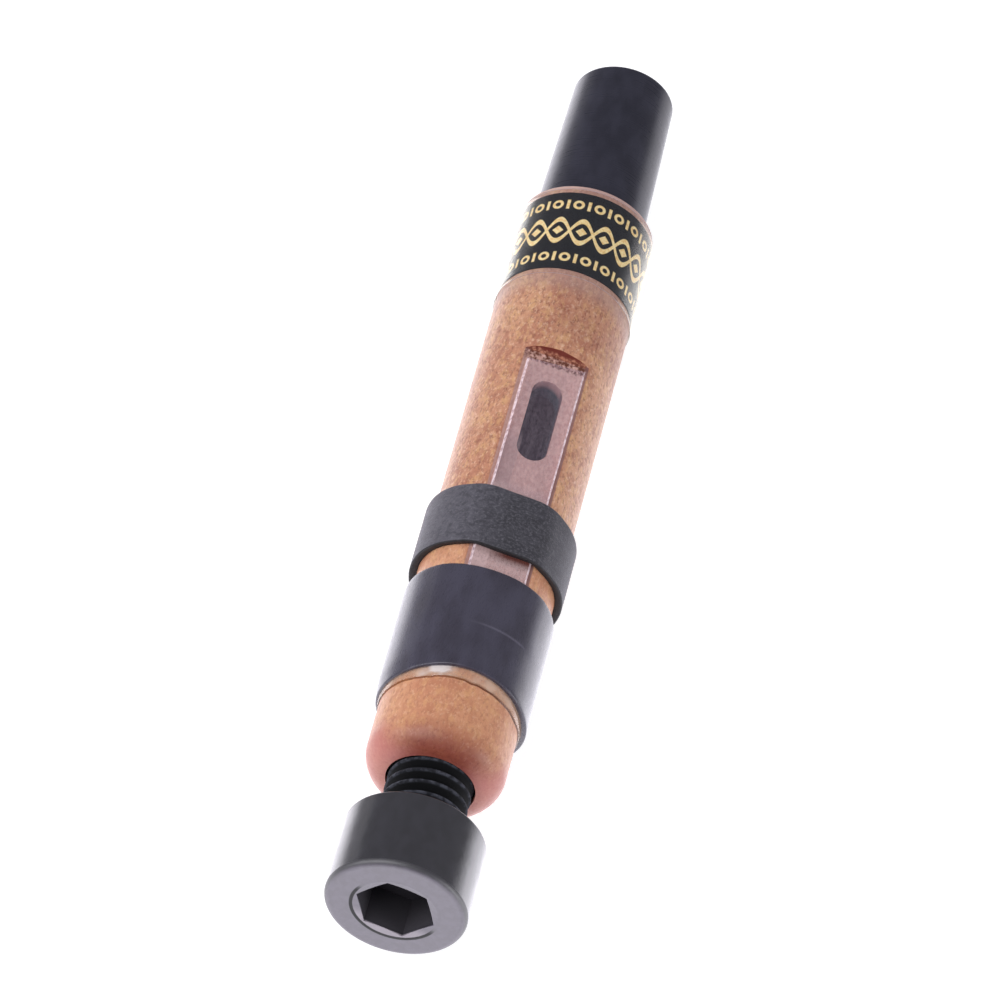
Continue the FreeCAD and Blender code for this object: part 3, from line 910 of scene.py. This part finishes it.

# %% Slot and bore
# Painted shade: the slot's walls, less at its far end, the bore and the mouth of the hole are
# darkened.
slot_wall_shade = product(between(radius, 4.29, 4.26), between(up_z, 4.27, 4.24),
                    between(along_y, -40, -38))
slot_shade_colour = layer(colour(122, 94, 94), colour(196, 150, 142), along_y, -18.9, -18.4)
tan = blend_colours(slot_wall_shade, tan, slot_shade_colour)
hole_shade = product(between(radius, 3.9, 3.3), between(along_y, -51.9, -51.4))
bore_shade = highest(between(radius, 3.0, 2.7), hole_shade)
tan = blend_colours(bore_shade, tan, colour(36, 66, 70))
gloss = highest(between(dark_flecks, 0.3, 0.8, 0.42, 0.58), product(bore_shade, 0.95))
height = calc("ADD", product(dark_flecks, -0.6), pale_flecks)
height = product(height, calc("SUBTRACT", 1, bore_shade))
finish_with(plastic(tan, gloss, IOR=1.38, Coat_Weight=0.15, Coat_Roughness=0.3,
                    Normal=bump(height, 0.012)))
dress(body, body_finish)

# %% [markdown]
# ## Seat finish
# The seat is a tapered black plastic plug with a bore, and its shape in the CAD model is complete,
# so the CAD piece stays and only gets a finish. Turned plastic has very fine rings round the axis.
# They are a noise that is stretched across and short along Y, used as a faint bump.

# %% Black plastic of the seat
seat_finish, mm = start_finish("seat_plastic")
turning = grain(mm, (2.5, 0.08, 2.5), 2)
soft = grain(mm, (1.2, 2.5, 1.2), 3)
shade = layer(colour(41, 41, 51), colour(51, 51, 62), soft, 0.3, 0.7)
height = calc("ADD", product(turning, 0.006), soft)
finish_with(plastic(shade, between(turning, 0.3, 0.7, 0.27, 0.33), IOR=1.35,
                    Normal=bump(height, 0.01)))
dress(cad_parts["seat_tube"], seat_finish)

# %% [markdown]
# ## Screw finish
# The screw is moulded black nylon, with a glossy side and a matt front face whose grey is partly
# painted reflection of the white table. Its thread and hexagon come from the CAD model. The front
# face is found by its place along Y. Round the socket there is a fine dark line of painted shadow
# at the countersink's lower edge, and inside it the lower lip of the countersink is a painted
# highlight. The crests of the thread are paler than its grooves, partly from wear and partly as
# painted highlight, with painted shade in the grooves, and their distance from the axis tells them
# apart. Thread and socket are dull, and their shine is tinted dark, partly as painted shade.

# %% Black nylon of the screw
FACE = screw_low.y / MM
LIP_RADIUS = 2.98
SHANK_START = -57.5

screw_finish, mm = start_finish("screw_nylon")
side_x, along_y, up_z = split(mm)
radius = far(side_x, up_z)
moulded = grain(mm, (0.8, 1.2, 0.8), 3)
patches = grain(mm, (0.5, 0.5, 0.5), 3)
front = product(between(along_y, FACE + 0.2, FACE + 0.05), between(radius, 5.02, 4.7))
rim = product(between(along_y, FACE + 0.18, FACE + 0.13), between(radius, 3.1, 3.02))
front = highest(front, rim)
shank = between(radius, 3.6, 3.3)
socket = product(shank, between(along_y, FACE + 0.2, FACE + 0.3))
thread = product(shank, between(along_y, SHANK_START, SHANK_START + 0.5))
print(len(tree.nodes), "nodes in this tree so far")

# %% Grey face, dark line and thread
# The front face's grey is partly painted reflection of the white table.
face_grey = layer(colour(64, 58, 70), colour(73, 67, 80), patches, 0.35, 0.65)
# Painted highlight on the countersink's lower lip.
lip_highlight = product(between(radius, LIP_RADIUS + 0.02, LIP_RADIUS - 0.02), between(up_z, -0.9, -2.1))
face_grey = blend_colours(lip_highlight, face_grey, colour(138, 131, 138))
leaning_z = calc("ADD", up_z, product(side_x, 0.35))
# Painted shadow line round the socket, darkest at the lower left.
shadow_line = product(between(radius, LIP_RADIUS - 0.06, LIP_RADIUS), between(radius, 3.26, 3.17),
               between(leaning_z, 1.0, -0.4, 0.1, 1))
face_grey = blend_colours(shadow_line, face_grey, colour(6, 5, 7))
shade = layer(colour(25, 24, 30), colour(34, 33, 40), moulded, 0.3, 0.7)
shade = blend_colours(front, shade, face_grey)
shade = blend_colours(product(socket, 0.9), shade, colour(60, 58, 62))
# Crests paler and grooves darker: wear, with painted highlight and painted shade.
crest = product(between(radius, 2.8, 2.97), between(patches, 0.4, 0.62, 0.25, 1))
thread_grey = blend_colours(crest, colour(8, 9, 11), colour(72, 74, 82))
shade = blend_colours(thread, shade, thread_grey)
print(len(tree.nodes), "nodes in this tree so far")

# %% Gloss of the screw
front_round = highest(front, between(along_y, FACE + 0.55, FACE + 0.4))
gloss = highest(between(moulded, 0.25, 0.75, 0.2, 0.26), product(highest(shank, front_round), 0.5))
gloss = highest(gloss, highest(product(shadow_line, front), product(socket, 0.8)))
# The dark shine tint in thread and socket is partly painted shade.
sunk = highest(product(thread, 0.85), socket)
shine = blend_colours(sunk, (1, 1, 1, 1), (0.12, 0.12, 0.12, 1))
height = product(moulded, calc("SUBTRACT", 1, front))
finish_with(plastic(shade, gloss, IOR=1.9, Specular_Tint=shine, Normal=bump(height, 0.015)))
dress(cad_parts["tuning_screw"], screw_finish)

# %% [markdown]
# ## Sleeve finish
# Heat-shrink tube is smooth with a soft sheen, and slightly blue beside the screw's black. Slow
# noise makes it uneven, as shrinking does, and it is kept low so that the bright edge bands stay
# calm. Where it steps down over the end of the tongue, a faint pale line is a painted highlight.

# %% Shrink sleeve
HEEL = heel_low.y / MM

sleeve_finish, mm = start_finish("shrink_plastic")
side_x, along_y, _ = split(mm)
slow = grain(mm, (1.4, 3.5, 1.4), 3)
fine = grain(mm, (0.15, 0.5, 0.15), 3)
shade = layer(colour(54, 51, 63), colour(68, 66, 80), slow, 0.3, 0.7)
# Painted highlight where the sleeve steps over the tongue's end.
tongue_end_highlight = product(between(along_y, HEEL - 0.5, HEEL - 0.4),
                     between(along_y, HEEL - 0.22, HEEL - 0.34),
                     between(side_x, -1.5, 1), between(side_x, 3.6, 2.8), 0.35)
shade = blend_colours(tongue_end_highlight, shade, colour(128, 124, 140))
height = calc("ADD", slow, product(fine, 0.12))
finish_with(plastic(shade, between(fine, 0.3, 0.7, 0.26, 0.32), IOR=1.55,
                    Normal=bump(height, 0.012)))
dress(sleeve, sleeve_finish)

# %% [markdown]
# ## Rubber finishes
# The bridle is matt rubber that has picked up dust, so it is greyer than the sleeve. Its left side,
# towards the key light, is paler, as painted light. The dust also gives it a pale sheen at a low
# angle. Its cut end is darker, as painted shade under its near edge. The small seal in the thread
# hole is plain rubber and is hardly seen. All get their dull look from a high roughness and a fine
# bump.

# %% Bridle rubber
rubber_finish, mm = start_finish("bridle_rubber")
side_x, _, _ = split(mm)
dust = grain(mm, (0.22, 0.18, 0.22), 5, 0.75)
worn = grain(mm, (1.6, 1.2, 1.6), 3)
blotch = grain(mm, (0.55, 0.4, 0.55), 4, 0.7)
shade = layer(colour(48, 47, 52), colour(62, 61, 67), worn, 0.3, 0.7)
# Painted light: paler on the left side, towards the key light.
shade = layer(shade, colour(92, 90, 98), side_x, 0.5, -3.2, 0, 0.72)
shade = layer(shade, colour(44, 43, 49), blotch, 0.42, 0.62, 0, 0.55)
shade = layer(shade, colour(124, 123, 129), dust, 0.45, 0.68, 0, 0.5)
finish_with(plastic(shade, between(dust, 0.3, 0.7, 0.5, 0.7), Sheen_Weight=0.22,
                    Sheen_Roughness=0.35, Sheen_Tint=(0.93, 0.9, 1, 1), Normal=bump(dust, 0.03)))

# Painted shade: the darker cut end under the bridle's near edge.
cut_finish, mm = start_finish("cut_rubber")
speck = grain(mm, (0.15, 0.15, 0.15), 3)
shade = layer(colour(22, 21, 24), colour(34, 32, 36), speck, 0.35, 0.65)
finish_with(plastic(shade, 0.7, Normal=bump(speck, 0.02)))
dress(bridle, rubber_finish, cut_finish)
for face in bridle.data.polygons:
    face.material_index = 1 if face.normal.y < -0.5 else 0

# %% Rubber of the thread seal
seal_finish, mm = start_finish("seal_rubber")
speck = grain(mm, (0.1, 0.1, 0.1), 3)
shade = layer(colour(28, 28, 30), colour(48, 48, 52), speck, 0.4, 0.7)
finish_with(plastic(shade, 0.6, Normal=bump(speck, 0.02)))
dress(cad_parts["thread_seal"], seal_finish)

# %% [markdown]
# ## Tongue finish
# Clear plastic is seen by what lies on it: a little dust, faint streaks along its length, and the
# reflection at a low angle. So a see-through shader is mixed with a pale skin, by a share that
# grows towards the outline. Its clamped part is hazier, with a painted shadow at the bridle's near
# edge. The cut edges get a finish of their own, whiter and less clear, partly a frosted cut and
# partly painted highlight, which draws the two thin lines along the tongue. A glass shader would
# bend the light twice in such a thin strip and would turn noisy and dark.

# %% Clear plastic of the tongue
BRIDLE_SHADOW_START = -35.5
BRIDLE_SHADOW_END = -34


def clear_skin(tint, skin, least):
    """Mix a see-through tint and a skin that shows more and more towards the outline."""
    facing = add_node("LayerWeight", {"Blend": 0.5}).outputs["Facing"]
    share = highest(calc("POWER", facing, 5), least)
    return mix(share, wire("BsdfTransparent", {"Color": tint}), skin)


clear_finish, mm = start_finish("clear_plastic")
side_x, along_y, _ = split(mm)
streaks = grain(mm, (0.3, 6, 0.3), 2)
dust = grain(mm, (0.18, 0.3, 0.18), 4, 0.7)
lifted = product(between(side_x, -0.86, -0.96), between(along_y, -23.5, -25))
clamped = between(along_y, -28, -29.5)
shade = layer(colour(184, 164, 180), colour(214, 194, 208), streaks, 0.35, 0.65)
shade = blend_colours(lifted, shade, colour(188, 166, 170))
shade = blend_colours(clamped, shade, colour(238, 208, 204))
# Painted shadow under the bridle's near edge, deeper on the right.
bridle_shadow = product(between(along_y, BRIDLE_SHADOW_START, -34.8), between(along_y, BRIDLE_SHADOW_END, -34.6),
                between(side_x, -1.6, 0.4, 0.3, 1))
shade = blend_colours(bridle_shadow, shade, colour(112, 66, 58))
skin = plastic(shade, 0.12, Normal=bump(streaks, 0.01))
haze = between(dust, 0.3, 0.7, 0.05, 0.12)
for more in (product(lifted, 0.17), product(clamped, between(dust, 0.25, 0.6, 0.12, 0.32)),
             product(bridle_shadow, 0.4)):
    haze = calc("ADD", haze, more)
finish_with(clear_skin((0.97, 0.98, 1, 1), skin, haze))
print(len(tree.nodes), "nodes in this tree")

# %% Cut edges of the tongue
edge_finish, mm = start_finish("clear_plastic_edge")
nicks = grain(mm, (0.2, 0.35, 0.2), 3)
_, along_y, _ = split(mm)
tip = between(along_y, -17.45, -17.3, 1, 0.35)
# The whiter edge colour is partly painted highlight.
shade = layer(colour(222, 194, 198), colour(252, 232, 234), nicks, 0.35, 0.65)
finish_with(mix(product(tip, between(nicks, 0.35, 0.6, 0.5, 0.85)),
                wire("BsdfTransparent", {"Color": (0.95, 0.92, 0.95, 1)}),
                plastic(shade, 0.35, Normal=bump(nicks, 0.02))))
dress(tongue, clear_finish, edge_finish)
for face in tongue.data.polygons:
    face.material_index = 0 if abs(face.normal.z) > 0.95 else 1

# %% [markdown]
# ## Adhesive finish
# The adhesive is clear and wet looking, so a polished layer lies over its see-through skin. On the
# upper left beside the sleeve a white patch is a painted highlight. Its thin edge is a fine brown
# line, partly amber glue and partly painted shade, most of all on the right. Only the first strip
# of faces gets that colour.

# %% Clear adhesive
BEAD = bead_start / MM
GLUE_ROUGHNESS = 0.12

glue_finish, mm = start_finish("clear_glue")
side_x, along_y, up_z = split(mm)
ripple = grain(mm, (1.2, 0.8, 1.2), 2)
uneven_x = calc("ADD", side_x, product(ripple, 1.2))
# Painted highlight: a white patch on the upper left beside the sleeve.
white_highlight = product(between(uneven_x, -2.8, -1.7), between(uneven_x, -0.1, -1.1),
                between(calc("ADD", along_y, ripple), BEAD + 0.85, BEAD + 1.2), between(up_z, 2, 3))
shade = layer(colour(236, 188, 150), colour(250, 218, 190), ripple, 0.3, 0.7)
shade = blend_colours(white_highlight, shade, colour(255, 246, 240))
skin = plastic(shade, GLUE_ROUGHNESS, IOR=1.6, Normal=bump(ripple, 0.02))
cover = highest(between(ripple, 0.3, 0.7, 0.3, 0.45), product(white_highlight, 0.7))
polish = wire("BsdfGlossy", {"Color": (1, 0.98, 0.97, 1), "Roughness": GLUE_ROUGHNESS,
                             "Normal": bump(ripple, 0.02)})
finish_with(mix(0.08, clear_skin((1, 0.96, 0.91, 1), skin, cover), polish))
print(len(tree.nodes), "nodes in this tree")

# %% Thin edge of the adhesive
thin_finish, mm = start_finish("clear_glue_edge")
side_x, _, _ = split(mm)
# Painted shade along the thin edge, strongest on the right.
line_share = between(side_x, -1.5, 2.5, 0.2, 0.6)
finish_with(clear_skin((0.93, 0.86, 0.78, 1), plastic(colour(128, 84, 62), 0.3), line_share))
dress(adhesive, glue_finish, thin_finish)
for face in adhesive.data.polygons:
    middle_radius = math.hypot(face.center.x, face.center.z)
    thin = middle_radius < BODY_RADIUS + 0.06 * MM and face.center.y < bead_start + 0.5 * MM
    face.material_index = 1 if thin and face.normal.y < 0 else 0

# %% [markdown]
# ## Film finish
# The film is so thin that it is nearly unseen on top and turns into a white reflection at both
# sides of the label. Its two cut edges are paler.

# %% Clear film
film_finish, mm = start_finish("film_plastic")
wrinkle = grain(mm, (1.6, 2.5, 1.6), 2)
shade = layer(colour(240, 238, 226), colour(255, 255, 244), wrinkle, 0.3, 0.7)
skin = wire("BsdfGlossy", {"Color": shade, "Roughness": 0.16, "Normal": bump(wrinkle, 0.03)})
finish_with(clear_skin((0.99, 0.99, 0.995, 1), skin, 0.015))

rim_finish, _ = start_finish("film_plastic_edge")
finish_with(clear_skin((0.95, 0.95, 0.95, 1), plastic(colour(196, 186, 192), 0.4), 0.6))
dress(film, film_finish, rim_finish)
for face in film.data.polygons:
    face.material_index = 1 if abs(face.normal.y) > 0.7 else 0

# %% [markdown]
# ## The printed band
# The band's pattern is drawn in two coordinates: the distance round the body, which is the angle
# about the axis times the radius, and the place along Y. Two mirrored sine lines make a chain
# round the middle, with a lozenge in each link. A row of beads and short bars runs beside each
# border. The lengths are whole fractions of the way round, so that the pattern has no seam.

# %% Label print
LABEL_ROUND = 2 * math.pi * LABEL_OUTER / MM
LINKS = 18
BEADS = 20
CHAIN_HEIGHT = 1.05
ROW_PLACE = 2.55
label_finish, mm = start_finish("label_ink")
side_x, along_y, up_z = split(mm)
angle = calc("ARCTAN2", side_x, up_z)
round_way = product(angle, LABEL_OUTER / MM)
mirror = calc("ABSOLUTE", calc("SUBTRACT", along_y, (label_low.y + label_high.y) / 2 / MM))


def shape(distance, size):
    """1 inside a shape of some size, 0 outside it, from the distance to its middle."""
    return between(distance, size + 0.03, size - 0.03)


def cell(count, shift=0):
    """Distance round the body from the middle of the nearest of so many equal cells."""
    pitch = LABEL_ROUND / count
    moved = calc("ADD", round_way, (shift + 0.5) * pitch)
    into = product(calc("FRACT", calc("DIVIDE", moved, pitch)), pitch)
    return calc("ABSOLUTE", calc("SUBTRACT", into, pitch / 2))


wave = calc("SINE", product(angle, LINKS / 2))
wave = product(calc("ABSOLUTE", wave), CHAIN_HEIGHT)
chain = shape(calc("ABSOLUTE", calc("SUBTRACT", mirror, wave)), 0.24)
lozenge = shape(calc("ADD", cell(LINKS, 0.5), mirror), 0.42)
row = calc("ABSOLUTE", calc("SUBTRACT", mirror, ROW_PLACE))
from_bead = far(cell(BEADS), row)
bead = calc("SUBTRACT", shape(from_bead, 0.42), shape(from_bead, 0.2))
bar = product(shape(cell(BEADS, 0.5), 0.12), shape(row, 0.44))
print_share = highest(highest(chain, lozenge), highest(bead, bar))
print("label is %.2f mm round, %d links" % (LABEL_ROUND, LINKS))

# %% Ink and gold
wear = grain(mm, (0.2, 0.2, 0.2), 3)
ink = layer(colour(11, 13, 19), colour(20, 23, 31), wear, 0.3, 0.7)
gold = layer(colour(244, 206, 132), colour(255, 236, 176), wear, 0.3, 0.7)
worn_share = product(print_share, between(wear, 0.2, 0.35, 0.6, 1))
finish_with(plastic(blend_colours(worn_share, ink, gold), between(wear, 0.3, 0.7, 0.35, 0.45),
                    Normal=bump(print_share, 0.006)))
dress(label, label_finish)

# %% [markdown]
# ## Close

bpy.context.scene.view_settings.view_transform = "Standard"
